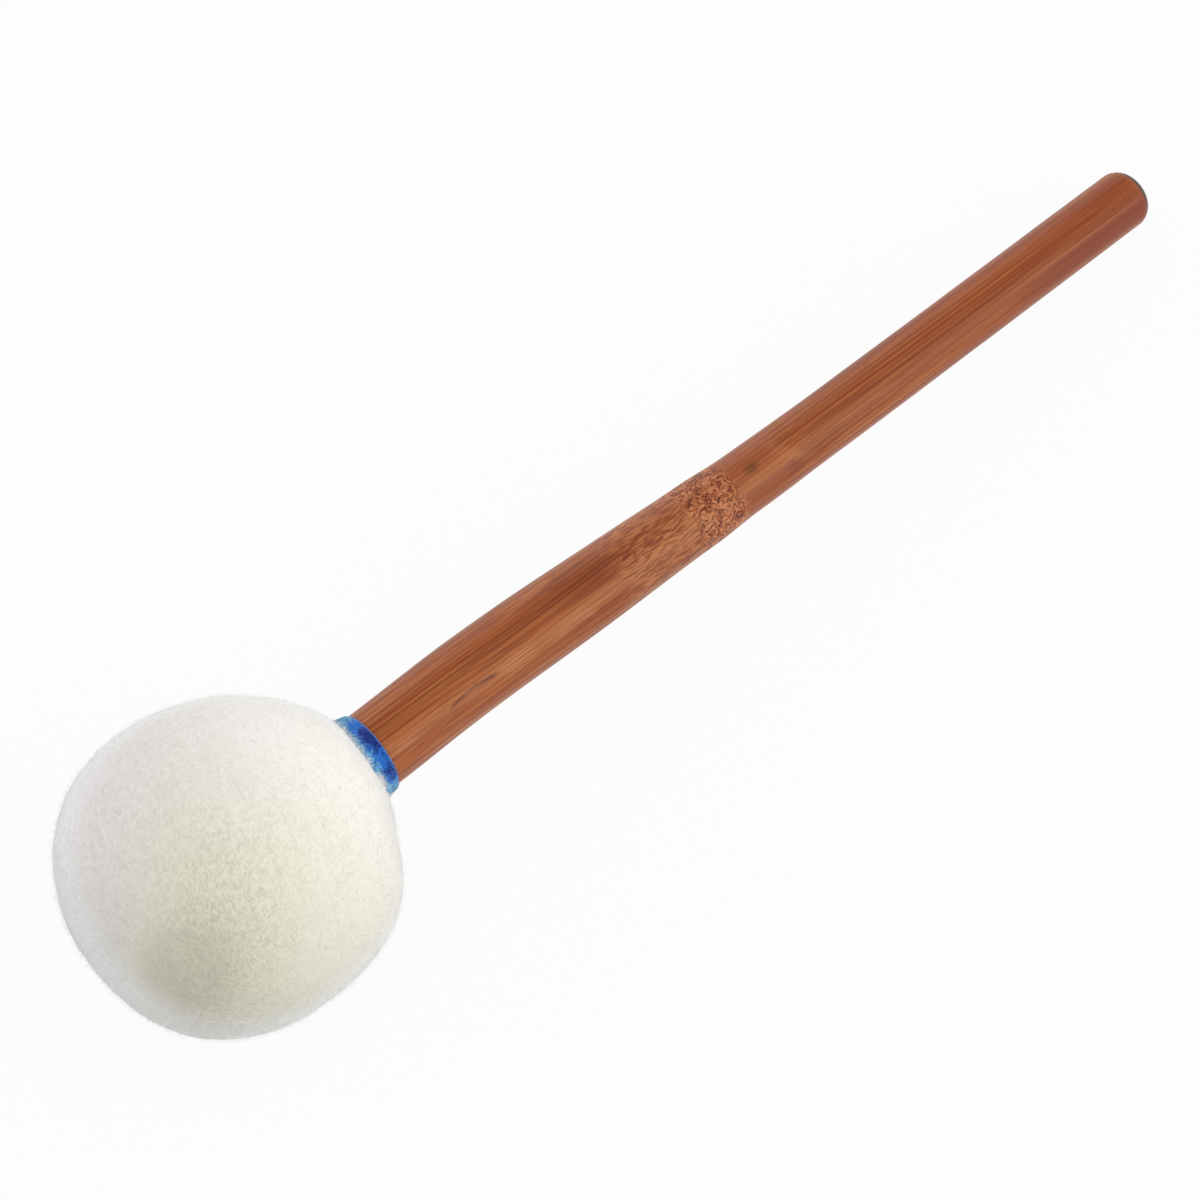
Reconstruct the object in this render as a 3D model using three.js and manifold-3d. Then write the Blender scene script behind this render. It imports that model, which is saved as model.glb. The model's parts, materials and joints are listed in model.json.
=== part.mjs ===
// Bass drum mallet: a soft wool felt head on a contoured bamboo handle.
// Lengths are in millimetres. Each piece is drawn round the Y axis, from the head's centre towards the butt,
// and the finished mallet is then laid down on its head and on the lower edge of its butt.
import * as THREE from 'three';
import { mergeVertices } from 'three/addons/utils/BufferGeometryUtils.js';
import Module from 'manifold-3d';

const wasm = await Module();
wasm.setup();

// Felt head
const headDiameter = 80;
const headBoxyShare = 0.015; // how far the ball swells between its flats, as a share of its radius
const headFlats = 4;
const headOffset = 1.8; // the ball is wound this far to one side of the handle's line
const neckDraw = 1; // the gathered cover draws the ball in this much at the neck
const neckDrawShare = 0.78; // where that starts, as a share of the way from the nose to the neck
const coverWall = 9.5;
const restFlatDepth = 0.5; // the soft ball settles this much where it lies

// Handle
const handleShows = 266.4; // from the shoulder at the band to the butt's end face
const swellDiameter = 19.8;
const swellLength = 42; // from the shoulder to where the cane starts to narrow
const waistDiameter = 16;
const waistReach = 146; // from the shoulder to the waist
const gripDiameter = 16.2;
const buttRounding = 4.6;
const handleBow = 1.05; // largest sideways bend of the cane
const neckDiameter = 13.8;
const tenonDiameter = 10;

// Turned core and the pin that holds it on the tenon
const coreDiameter = 24;
const coreLength = 36;
const coreEdge = 1.5;
const coreFrontWall = 6; // wood left between the end of the bore and the core's front face
const pinDiameter = 4;
const pinSetBack = 14; // from the core's rear face

// Firm felt strip wound round the core, pared thin at both ends so that the roll is round
const wrapTurns = 5;
const wrapGap = 0.45; // air between one turn of the strip and the next
const wrapPared = 0.6; // thickness left at the pared ends

// Neck: the cover's gathered edge, the thread round it and the blue felt band
const gatherWall = 1.2;
const threadDiameter = 0.8;
const threadGap = 0.45;
const threadTurns = 5;
const bandThickness = 1.15;
const bandWidth = 8;
const bandShows = 5.7; // how much of that width stands clear of the ball
const bandJoint = 0.5; // the band's two ends meet underneath with this gap

// Fits
const clearance = 0.3;
const overrun = 5;

// Facets
const headSides = 48;
const headRings = 28;
const innerSides = 36;
const innerRings = 18;
const handleSides = 40;
const handleRings = 24;
const bowSteps = 96;
const roundingSteps = 6;
const wrapSides = 24;
const wrapStepSides = 1.5; // the strip climbs onto its own start this many facets before it
const threadSteps = 20;
const threadSides = 6;
const pinSides = 20;
const tiltTries = 40; // halvings of the search for the angle at which the mallet lies

// Radii and places that follow from the sizes above
const coreRadius = coreDiameter / 2;
const neckRadius = neckDiameter / 2;
const tenonRadius = tenonDiameter / 2;
const coreRear = coreLength / 2;
const coreFront = coreRear - coreLength;
const tenonEnd = coreFront + coreFrontWall;
const pinPlace = coreRear - pinSetBack;
const gatherRadius = neckRadius + clearance + gatherWall;
const threadRadius = gatherRadius + clearance + threadDiameter / 2;
const bandInnerRadius = threadRadius + threadDiameter / 2 + clearance;
const bandOuterRadius = bandInnerRadius + bandThickness;
const bandEnd = ballSurfacePlace(bandOuterRadius) + bandShows;
const bandStart = bandEnd - bandWidth;
const recessFloor = bandStart - clearance;
const shoulderPlace = bandEnd + clearance;
const buttPlace = shoulderPlace + handleShows;

// The handle's bend as places along its length and shares of its bow
const bowShares = [
  [0, 0],
  [0.12, -0.85],
  [0.29, 0],
  [0.5, 1],
  [1, 0.3],
];

const looks = {
  bamboo: { color: 0xaa5f32, roughness: 0.35 },
  turnedWood: { color: 0xcaa472, roughness: 0.6 },
  firmFelt: { color: 0xcfc8b8, roughness: 0.95 },
  softFelt: { color: 0xeeebe0, roughness: 1 },
  blueFelt: { color: 0x1f57b5, roughness: 0.95 },
  waxedThread: { color: 0xd9cba8, roughness: 0.7 },
};

// Solids
function mergedGeometry(geometry) {
  const plain = geometry.index ? geometry.toNonIndexed() : geometry.clone();
  plain.deleteAttribute('normal');
  plain.deleteAttribute('uv');
  return mergeVertices(plain);
}

function solid(geometry) {
  const merged = mergedGeometry(geometry);
  const corners = merged.index.array;
  const kept = [];
  for (let i = 0; i < corners.length; i += 3) {
    const [a, b, c] = corners.slice(i, i + 3);
    if (a !== b && b !== c && c !== a) kept.push(a, b, c);
  }
  return new wasm.Manifold(
    new wasm.Mesh({
      numProp: 3,
      vertProperties: new Float32Array(merged.attributes.position.array),
      triVerts: new Uint32Array(kept),
    }),
  );
}

function geometryOf(manifold) {
  const mesh = manifold.getMesh();
  const geometry = new THREE.BufferGeometry();
  geometry.setAttribute('position', new THREE.BufferAttribute(mesh.vertProperties, 3));
  geometry.setIndex(new THREE.BufferAttribute(mesh.triVerts, 1));
  geometry.computeVertexNormals();
  return geometry;
}

function turned(outline, sides) {
  return new THREE.LatheGeometry(outline.map(([radius, place]) => new THREE.Vector2(radius, place)), sides);
}

function rod(radius, from, to, sides) {
  return turned([[0, from], [radius, from], [radius, to], [0, to]], sides);
}

function crossRod(radius, length, place, sides) {
  return rod(radius, -length / 2, length / 2, sides).rotateX(Math.PI / 2).translate(0, place, 0);
}

// The ball's outline, from the nose round to the handle side
function ballRadius(angle) {
  const drawn = THREE.MathUtils.smoothstep(angle, neckDrawShare * Math.PI, Math.PI);
  return (headDiameter / 2) * (1 - headBoxyShare * Math.cos(headFlats * angle)) - neckDraw * drawn;
}

function ballSurfacePlace(radius) {
  const angle = Math.PI - Math.asin(radius / (headDiameter / 2));
  return -ballRadius(angle) * Math.cos(angle);
}

function ballOutline(inset, rings) {
  const outline = [];
  for (let i = 0; i <= rings; i += 1) {
    const angle = (i / rings) * Math.PI;
    const radius = ballRadius(angle) - inset;
    const onAxis = i === 0 || i === rings;
    outline.push([onAxis ? 0 : radius * Math.sin(angle), -radius * Math.cos(angle)]);
  }
  return outline;
}

// How the mallet lies: the plane that touches the butt's edge and presses the rest flat into the ball
function buttReach(tilt) {
  const edgeRadius = gripDiameter / 2 - buttRounding;
  return (buttPlace - buttRounding) * Math.sin(tilt) + edgeRadius * Math.cos(tilt) + buttRounding;
}

function headReach(tilt) {
  const reaches = ballOutline(0, headRings).map(
    ([radius, place]) => place * Math.sin(tilt) + radius * Math.cos(tilt),
  );
  return Math.max(...reaches) - restFlatDepth;
}

function restTilt() {
  let low = 0;
  let high = Math.PI / 4;
  for (let i = 0; i < tiltTries; i += 1) {
    const middle = (low + high) / 2;
    if (headReach(middle) > buttReach(middle)) low = middle;
    else high = middle;
  }
  return low;
}

const tilt = restTilt();

function floorBlock() {
  const side = headDiameter + 2 * overrun;
  const block = new THREE.BoxGeometry(side, side, side);
  block.translate(0, 0, -buttReach(tilt) - side / 2);
  return block.rotateX(tilt);
}

// Handle
function handleRadius(place) {
  const reach = place - shoulderPlace;
  const taper = THREE.MathUtils.smoothstep(reach, swellLength, waistReach);
  const flare = THREE.MathUtils.clamp((reach - waistReach) / (handleShows - waistReach), 0, 1);
  const waisted = THREE.MathUtils.lerp(swellDiameter, waistDiameter, taper);
  return THREE.MathUtils.lerp(waisted, gripDiameter, flare) / 2;
}

function handleOutline() {
  const outline = [
    [0, tenonEnd],
    [tenonRadius, tenonEnd],
    [tenonRadius, coreRear + clearance],
    [neckRadius, coreRear + clearance],
    [neckRadius, shoulderPlace],
  ];
  const roundingStart = buttPlace - buttRounding;
  for (let i = 0; i < handleRings; i += 1) {
    const place = THREE.MathUtils.lerp(shoulderPlace, roundingStart, i / handleRings);
    outline.push([handleRadius(place), place]);
  }
  const edgeRadius = gripDiameter / 2 - buttRounding;
  for (let i = 0; i <= roundingSteps; i += 1) {
    const angle = (i / roundingSteps) * (Math.PI / 2);
    const radius = edgeRadius + buttRounding * Math.cos(angle);
    outline.push([radius, roundingStart + buttRounding * Math.sin(angle)]);
  }
  outline.push([0, buttPlace]);
  return outline;
}

// The cane's natural bend, given to the straight solid by moving each of its rings sideways
function bowCurve() {
  return new THREE.CatmullRomCurve3(
    bowShares.map(([along, side]) => {
      const place = THREE.MathUtils.lerp(shoulderPlace, buttPlace, along);
      return new THREE.Vector3(side * handleBow, place, 0);
    }),
  );
}

function bend(geometry) {
  const stations = bowCurve().getPoints(bowSteps);
  const position = geometry.attributes.position;
  for (let i = 0; i < position.count; i += 1) {
    const place = position.getY(i);
    const next = stations.findIndex((station) => station.y > place);
    if (next > 0) {
      const before = stations[next - 1];
      const after = stations[next];
      const share = (place - before.y) / (after.y - before.y);
      position.setX(i, position.getX(i) + THREE.MathUtils.lerp(before.x, after.x, share));
    } else if (next < 0) {
      position.setX(i, position.getX(i) + stations.at(-1).x);
    }
  }
  return geometry;
}

function handle() {
  const pinHole = crossRod(pinDiameter / 2 + clearance, tenonDiameter + 2 * overrun, pinPlace, pinSides);
  return bend(geometryOf(solid(turned(handleOutline(), handleSides)).subtract(solid(pinHole))));
}

// Core and pin
function headCore() {
  const boreRadius = tenonRadius + clearance;
  const boreEnd = tenonEnd - clearance;
  const outline = [
    [0, coreFront],
    [coreRadius - coreEdge, coreFront],
    [coreRadius, coreFront + coreEdge],
    [coreRadius, coreRear - coreEdge],
    [coreRadius - coreEdge, coreRear],
    [boreRadius, coreRear],
    [boreRadius, boreEnd],
    [0, boreEnd],
  ];
  const pinHole = crossRod(pinDiameter / 2 + clearance, coreDiameter + 2 * overrun, pinPlace, pinSides);
  return geometryOf(solid(turned(outline, innerSides)).subtract(solid(pinHole)));
}

function corePin() {
  return crossRod(pinDiameter / 2, coreDiameter - 2 * clearance, pinPlace, pinSides);
}

// Felt inside the cover
function insideHead() {
  return solid(turned(ballOutline(coverWall + clearance, innerRings), innerSides));
}

function innerFeltWrap() {
  const innerRadius = coreRadius + clearance;
  const outerRadius = ballRadius(Math.PI / 2) - coverWall - clearance;
  const pitch = (outerRadius - innerRadius - wrapPared) / (wrapTurns - 1);
  const endTurn = wrapTurns - (wrapPared + wrapGap) / pitch;
  const outer = [];
  const inner = [];
  for (let i = 0; i <= Math.ceil(endTurn * wrapSides); i += 1) {
    const turn = Math.min(i / wrapSides, endTurn);
    const direction = new THREE.Vector2(1, 0).rotateAround(new THREE.Vector2(), turn * 2 * Math.PI);
    const climb = innerRadius + wrapPared + turn * pitch;
    const overStart = turn > 1 - wrapStepSides / wrapSides;
    inner.push(direction.clone().multiplyScalar(overStart ? climb - pitch + wrapGap : innerRadius));
    outer.push(direction.clone().multiplyScalar(Math.min(climb, outerRadius)));
  }
  const outline = new THREE.Shape([...outer, ...inner.reverse()]);
  const strip = new THREE.ExtrudeGeometry(outline, { depth: coreLength, bevelEnabled: false });
  strip.rotateX(-Math.PI / 2).translate(0, coreFront, 0);
  return geometryOf(solid(strip).intersect(insideHead()));
}

function frontFeltDisc() {
  const behind = rod(headDiameter, coreFront - clearance, headDiameter, innerSides);
  return geometryOf(insideHead().subtract(solid(behind)));
}

function rearFeltRing() {
  const ahead = rod(headDiameter, -headDiameter, coreRear + clearance, innerSides);
  const bore = rod(neckRadius + clearance, -headDiameter, headDiameter, innerSides);
  return geometryOf(insideHead().subtract(solid(ahead)).subtract(solid(bore)));
}

// Soft cover, closed round the neck by its gathered edge
function feltCover() {
  const ball = turned(ballOutline(0, headRings), headSides).translate(headOffset, 0, 0);
  const recess = turned(
    [
      [0, recessFloor],
      [bandOuterRadius + clearance, recessFloor],
      [bandOuterRadius + clearance, headDiameter],
      [0, headDiameter],
    ],
    innerSides,
  );
  const gather = rod(gatherRadius, recessFloor - overrun / 2, bandEnd, innerSides);
  const mouth = rod(neckRadius + clearance, 0, headDiameter, innerSides);
  const hollow = solid(turned(ballOutline(coverWall, innerRings), innerSides));
  return geometryOf(
    solid(ball).subtract(solid(recess)).add(solid(gather)).subtract(hollow).subtract(solid(mouth)).subtract(
      solid(floorBlock()),
    ),
  );
}

// Thread and band round the neck
class Helix extends THREE.Curve {
  constructor(radius, pitch, turns, start) {
    super();
    Object.assign(this, { radius, pitch, turns, start });
  }

  getPoint(share) {
    const turn = share * this.turns;
    const angle = turn * 2 * Math.PI;
    const place = this.start + turn * this.pitch;
    return new THREE.Vector3(this.radius * Math.cos(angle), place, this.radius * Math.sin(angle));
  }
}

function gatheringThread() {
  const pitch = threadDiameter + threadGap;
  const middle = (bandStart + bandEnd) / 2;
  const path = new Helix(threadRadius, pitch, threadTurns, middle - (threadTurns * pitch) / 2);
  const section = new THREE.Shape(
    Array.from({ length: threadSides }, (_, i) => {
      const angle = ((i + 0.5) / threadSides) * 2 * Math.PI;
      return new THREE.Vector2(Math.cos(angle), Math.sin(angle)).multiplyScalar(threadDiameter / 2);
    }),
  );
  return new THREE.ExtrudeGeometry(section, { steps: threadTurns * threadSteps, extrudePath: path });
}

function neckBand() {
  const halfJoint = bandJoint / bandInnerRadius / 2;
  const start = Math.PI / 2 + halfJoint;
  const end = start + 2 * (Math.PI - halfJoint);
  const outline = new THREE.Shape();
  outline.absarc(0, 0, bandOuterRadius, start, end, false);
  outline.absarc(0, 0, bandInnerRadius, end, start, true);
  const strip = new THREE.ExtrudeGeometry(outline, {
    depth: bandWidth,
    bevelEnabled: false,
    curveSegments: headSides,
  });
  return strip.rotateX(-Math.PI / 2).translate(0, bandStart, 0);
}

function piece(name, geometry, look) {
  const mesh = new THREE.Mesh(geometry, new THREE.MeshStandardMaterial({ metalness: 0, ...looks[look] }));
  mesh.name = name;
  return mesh;
}

// The mallet along its own axis, turned to lie along X and tipped until it touches the floor
const mallet = new THREE.Group();
mallet.add(
  piece('handle', handle(), 'bamboo'),
  piece('head_core', headCore(), 'turnedWood'),
  piece('core_pin', corePin(), 'turnedWood'),
  piece('inner_felt_wrap', innerFeltWrap(), 'firmFelt'),
  piece('front_felt_disc', frontFeltDisc(), 'firmFelt'),
  piece('rear_felt_ring', rearFeltRing(), 'firmFelt'),
  piece('felt_cover', feltCover(), 'softFelt'),
  piece('gathering_thread', gatheringThread(), 'waxedThread'),
  piece('neck_band', neckBand(), 'blueFelt'),
);
mallet.rotation.z = -Math.PI / 2;

const lying = new THREE.Group();
lying.add(mallet);
lying.rotation.y = tilt;

const part = new THREE.Group();
part.add(lying);
part.updateMatrixWorld(true);
const extent = new THREE.Box3().setFromObject(part, true);
const centre = extent.getCenter(new THREE.Vector3());
lying.position.set(-centre.x, -centre.y, -extent.min.z);

export default part;
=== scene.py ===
"""Bass drum mallet: a soft wool felt head with a blue felt band on a contoured bamboo handle."""

import json
import math
import random

import bmesh
import bpy
from bpy.props import FloatProperty, FloatVectorProperty, IntProperty, PointerProperty
from mathutils import Matrix, Vector, noise


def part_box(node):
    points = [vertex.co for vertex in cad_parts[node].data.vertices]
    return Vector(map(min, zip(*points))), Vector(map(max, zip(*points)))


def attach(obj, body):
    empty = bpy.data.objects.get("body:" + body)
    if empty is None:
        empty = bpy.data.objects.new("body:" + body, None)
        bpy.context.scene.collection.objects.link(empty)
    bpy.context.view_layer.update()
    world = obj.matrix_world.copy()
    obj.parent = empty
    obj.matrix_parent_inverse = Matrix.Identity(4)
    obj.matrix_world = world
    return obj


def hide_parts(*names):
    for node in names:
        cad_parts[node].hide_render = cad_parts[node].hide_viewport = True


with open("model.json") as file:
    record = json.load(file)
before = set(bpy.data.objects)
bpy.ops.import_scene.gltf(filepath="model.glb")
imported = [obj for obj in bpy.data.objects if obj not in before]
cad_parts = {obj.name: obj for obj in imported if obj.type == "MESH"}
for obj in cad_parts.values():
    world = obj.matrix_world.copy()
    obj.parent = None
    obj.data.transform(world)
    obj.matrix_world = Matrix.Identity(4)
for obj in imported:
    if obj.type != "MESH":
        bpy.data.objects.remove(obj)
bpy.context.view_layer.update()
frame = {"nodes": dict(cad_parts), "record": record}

bl_info = {
    "name": "Bass Drum Mallet",
    "version": (1, 0, 0),
    "blender": (4, 5, 0),
    "location": "3D View > Sidebar > Mallet",
    "description": "A felt-headed bass drum mallet, dressed on its CAD frame",
    "category": "Add Mesh",
}

BODY = "root"
MM = 0.001

# The mallet's own frame: X runs from the middle of the head towards the butt, Z is up across it.
# The pin through the core sits squarely on the handle's line, so it gives the place of that line.
PIN_PLACE = 4 * MM
butt_mount = next(m for m in frame["record"]["mounts"] if m["name"] == "butt_face")
AXIS = Vector(butt_mount["axis"]).normalized()
TILT = math.atan2(-AXIS.z, AXIS.x)
HEAD_MIDDLE = sum(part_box("core_pin"), Vector()) / 2 - AXIS * PIN_PLACE
MALLET = Matrix.Translation(HEAD_MIDDLE) @ Matrix.Rotation(TILT, 4, "Y")

# The side that faces the viewer, as a turn about the handle's line
FACING = math.radians(21.17)
VIEWER = Vector((0, -math.sin(FACING), math.cos(FACING)))
ACROSS = Vector((0, math.cos(FACING), math.sin(FACING)))

# How steeply the handle rises to the right in the view. The wool lies upright there.
SLANT = math.radians(35.8)

# The stage, in metres
FLOOR_REACH = 4
LAMP_PLACE = Vector((0.84, 1.67, 0.75))
LAMP_SIZE = 1.3
VIEW_DEPTH = 20

# The side of the room that is brighter
BRIGHT_SIDE = (0.917, 0.357, 0.189)

# The ball's offset from the handle's line, places along that line and radii round it, in millimetres
BALL_OFFSET = Vector((0, -1.8, 0))
CLOSING_START, CLOSING_END = 27, 36.5
COVER_RADIUS, COVER_WALL = 40, 9.5
BAND_START, BAND_END = 35.3, 43.45
BAND_INNER, BAND_OUTER = 9.8, 10.95
BAND_FRONT = BAND_END + 0.5  # the soft edge puffs out over the handle's shoulder
MOUTH = 38.6
MOUTH_BACK, MOUTH_SPREAD = 0.45, 1.3
GATHER_OUTER, GATHER_INNER = 8.4, 7.2
SHOULDER, BUTT = 43.6, 310.0
NECK_RADIUS, TENON_RADIUS = 6.9, 5.0
TENON_END, CORE_REAR = -12.0, 18.0

# The cane's diameters, and how far from the shoulder the swell and the waist reach
SWELL, WAIST, GRIP = 19.8, 16.0, 16.2
SWELL_REACH, WAIST_REACH = 42, 146
BUTT_ROUNDING = 4.6

# Fibres
FIBRE_SIDES = 3
MOUTH_FIBRES, MOUTH_TUFTS = 1300, 75
WOOL_MESHES = 3
FLOOR_GAP = 0.12 * MM


def srgb(red, green, blue):
    """A colour given as it looks on screen, 0 to 255, as the linear values that Blender wants."""
    return tuple(
        v / 12.92 if v <= 0.04045 else ((v + 0.055) / 1.055) ** 2.4
        for v in (red / 255, green / 255, blue / 255)
    )


def smoothstep(value, start, end):
    share = min(max((value - start) / (end - start), 0), 1)
    return share * share * (3 - 2 * share)


# Settings


def a_number(name, description, default, **options):
    return FloatProperty(name=name, description=description, default=default, **options)


def an_angle(name, description, degrees):
    return a_number(name, description, math.radians(degrees), subtype="ANGLE")


def a_length(name, description, millimetres, precision=4):
    return a_number(name, description, millimetres * MM, unit="LENGTH", precision=precision)


def a_share(name, description, default, most=1):
    return a_number(name, description, default, min=0, max=most, subtype="FACTOR")


def a_colour(name, description, *shade):
    """A colour, given as it looks on screen."""
    return FloatVectorProperty(
        name=name, description=description, default=srgb(*shade),
        subtype="COLOR", size=3, min=0, max=1,
    )


class StageSettings(bpy.types.PropertyGroup):
    azimuth: an_angle("Azimuth", "Side the camera stands on", -41.72)
    elevation: an_angle("Elevation", "Height of the camera above the horizon", 63.78)
    distance: a_number("Distance", "From the camera to what it looks at", 0.7645, unit="LENGTH")
    target: FloatVectorProperty(
        name="Target", description="Point the camera looks at",
        default=(-0.0127, 0.0084, 0), subtype="TRANSLATION",
    )
    lens: a_number("Lens", "Focal length on a 36 mm sensor", 90, unit="CAMERA")
    ambient: a_number("Ambient", "Strength of the light from all round", 0.86, min=0)
    lean: a_share("Lean", "How much brighter the light is on the butt's side", 0.62)
    sides: a_share("Sides", "How much brighter the room is beside the view than above and below", 1.0, 2)
    back_power: a_number("Back Power", "Power of the lamp behind the handle", 3.0, min=0, unit="POWER")
    side_power: a_number("Side Power", "Power of the lamp at the viewer's right", 4.0, min=0, unit="POWER")
    floor_colour: a_colour("Floor Colour", "Colour of the floor under the mallet", 208, 208, 208)


class HeadSettings(bpy.types.PropertyGroup):
    radius: a_length("Radius", "Mean radius of the felt ball", 39.2)
    lumps: a_length("Lumps", "How far the hand-shaped felt swells and sinks", 0.3, precision=5)
    colour: a_colour("Felt Colour", "Main colour of the wool", 241, 238, 218)
    cool_colour: a_colour("Cool Colour", "Cooler wool on the left of the view", 243, 239, 237)
    strands: IntProperty(name="Strands", description="Wool fibres lying on the felt", default=20000, min=0)
    fuzz: IntProperty(name="Fuzz", description="Fine fibres that stand out of the felt", default=30000, min=0)
    strand_length: a_length("Strand Length", "Length of a middling fibre", 2.4)
    strand_width: a_length("Strand Width", "Thickness of a middling fibre", 0.085, precision=5)


class BandSettings(bpy.types.PropertyGroup):
    colour: a_colour("Band Colour", "Main blue of the felt band", 30, 126, 226)
    dark_colour: a_colour("Dark Colour", "Deep blue patches", 6, 34, 140)
    # Besides worn fibres, the pale colour also carries the painted sheen at the band's edges in the view
    pale_colour: a_colour("Pale Colour", "Worn, paler fibres", 122, 190, 226)
    strands: IntProperty(name="Strands", description="Fibres lying on the band", default=1800, min=0)


class HandleSettings(bpy.types.PropertyGroup):
    colour: a_colour("Bamboo Colour", "Main colour of the lacquered cane", 170, 90, 34)
    dark_colour: a_colour("Dark Colour", "Dark fibres and streaks", 131, 55, 10)
    pale_colour: a_colour("Pale Colour", "Pale fibres", 194, 120, 60)
    node_place: a_length("Node Place", "Where the cane's node lies, from the middle of the head", 150.5)
    gloss: a_share("Lacquer", "How much clear lacquer the cane carries", 0.12)


# Shader expressions


class Value:
    """A shader socket that takes part in Python expressions."""

    def __init__(self, shader, socket):
        self.shader = shader
        self.socket = socket

    def math(self, operation, *values):
        return self.shader.node("ShaderNodeMath", {"operation": operation}, dict(enumerate(values)))

    def __add__(self, other):
        return self.math("ADD", self, other)

    __radd__ = __add__

    def __sub__(self, other):
        return self.math("SUBTRACT", self, other)

    def __rsub__(self, other):
        return self.math("SUBTRACT", other, self)

    def __mul__(self, other):
        return self.math("MULTIPLY", self, other)

    __rmul__ = __mul__

    def __abs__(self):
        return self.math("ABSOLUTE", self)

    def sine(self):
        return self.math("SINE", self)

    def at_least(self, other):
        return self.math("MAXIMUM", self, other)


class Nodes:
    """The nodes of a material or a world."""

    def __init__(self, tree):
        self.tree = tree
        tree.nodes.clear()

    def node(self, kind, settings=None, inputs=None, output=0):
        """Adds a node: its settings first, then a value or link for each named or numbered socket."""
        node = self.tree.nodes.new(kind)
        for name, setting in (settings or {}).items():
            setattr(node, name, setting)
        for name, value in (inputs or {}).items():
            self.connect(node.inputs[name], value)
        return Value(self, node.outputs[output])

    def connect(self, socket, value):
        if isinstance(value, Value):
            self.tree.links.new(value.socket, socket)
        elif socket.type == "RGBA" and len(value) == 3:
            socket.default_value = (*value, 1)
        else:
            socket.default_value = value

    def split(self, vector):
        parts = self.node("ShaderNodeSeparateXYZ", inputs={0: vector})
        return [Value(self, socket) for socket in parts.socket.node.outputs]

    def join(self, x, y, z):
        return self.node("ShaderNodeCombineXYZ", inputs={0: x, 1: y, 2: z})

    def vector_math(self, operation, first, second, output=0):
        inputs = {0: first, 1: second}
        return self.node("ShaderNodeVectorMath", {"operation": operation}, inputs, output)

    def dot(self, first, second):
        return self.vector_math("DOT_PRODUCT", first, second, output="Value")

    def rise(self, value, start, end):
        """0 before start, 1 after end, smooth between them. Falls instead where end lies before start."""
        low, high = (0, 1) if start < end else (1, 0)
        inputs = {"Value": value, "From Min": min(start, end), "From Max": max(start, end)}
        inputs.update({"To Min": low, "To Max": high})
        return self.node("ShaderNodeMapRange", {"interpolation_type": "SMOOTHSTEP"}, inputs)

    def light(self, kind, strength):
        return self.node(kind, inputs={"Color": (1, 1, 1), "Strength": strength})

    def either(self, factor, first, second):
        return self.node("ShaderNodeMixShader", inputs={0: factor, 1: first, 2: second})

    def ray(self, *kinds):
        """1 where the ray is of one of these kinds."""
        path = self.node("ShaderNodeLightPath").socket.node
        seen = [Value(self, path.outputs[f"Is {kind} Ray"]) for kind in kinds]
        most = seen[0]
        for other in seen[1:]:
            most = most.at_least(other)
        return most


class Shader(Nodes):
    """A new material with one Principled shader, and the nodes that feed it."""

    def __init__(self, name):
        self.material = bpy.data.materials.new(name)
        self.material.use_nodes = True
        super().__init__(self.material.node_tree)
        self.surface = self.tree.nodes.new("ShaderNodeBsdfPrincipled")
        self.output = self.tree.nodes.new("ShaderNodeOutputMaterial")
        self.tree.links.new(self.surface.outputs[0], self.output.inputs[0])

    def set(self, **values):
        """Sets the Principled shader's sockets. An underscore stands for a space."""
        for name, value in values.items():
            self.connect(self.surface.inputs[name.replace("_", " ")], value)

    def place(self):
        """Object coordinates as millimetres in the mallet's frame, with Z towards the viewer."""
        coordinates = self.node("ShaderNodeTexCoord", output="Object")
        inputs = {"Vector": coordinates, "Location": HEAD_MIDDLE, "Rotation": (FACING, TILT, 0)}
        inputs["Scale"] = (MM, MM, MM)
        return self.node("ShaderNodeMapping", {"vector_type": "TEXTURE"}, inputs)

    def upright(self, vector, turn):
        """Turns a place so that its Y runs up the view, as the wool does, or at a turn from it."""
        inputs = {"Vector": vector, "Angle": SLANT + turn}
        return self.node("ShaderNodeVectorRotate", {"rotation_type": "Z_AXIS"}, inputs)

    def stretched(self, vector, scale):
        return self.vector_math("MULTIPLY", vector, scale)

    def noise(self, vector, scale=1.0, detail=2.0, roughness=0.5, distortion=0.0, output="Fac"):
        inputs = {"Vector": vector, "Scale": scale, "Detail": detail, "Roughness": roughness}
        inputs["Distortion"] = distortion
        return self.node("ShaderNodeTexNoise", inputs=inputs, output=output)

    def fibres(self, vector, along, across, detail=1.0, roughness=0.5):
        """Noise with its own scale along the cane and across it."""
        return self.noise(self.stretched(vector, (along, across, across)), 1, detail, roughness)

    def stretch_of(self, value, start, end, soft):
        """1 between start and end, fading over soft outside them."""
        return self.rise(value, start - soft, start) * self.rise(value, end + soft, end)

    def line(self, value, middle, width):
        """1 on a line of that width at middle, 0 away from it."""
        return self.rise(abs(value - middle), width, width * 0.25)

    def mix(self, first, second, factor):
        inputs = {0: factor, 6: first, 7: second}
        return self.node("ShaderNodeMix", {"data_type": "RGBA"}, inputs, output=2)

    def layered(self, colour, *layers):
        """Lays tints over a colour in turn, each with its amount."""
        for tint, amount in layers:
            colour = self.mix(colour, tint, amount)
        return colour

    def bump(self, height, distance, strength, normal=None):
        inputs = {"Height": height, "Distance": distance, "Strength": strength}
        if normal:
            inputs["Normal"] = normal
        return self.node("ShaderNodeBump", inputs=inputs)


# Felt


def in_view(x, y):
    """How far right and up a place lies in the view, from how far it lies along the mallet and across."""
    right = x * math.cos(SLANT) - y * math.sin(SLANT)
    up = x * math.sin(SLANT) + y * math.cos(SLANT)
    return right, up


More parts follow.
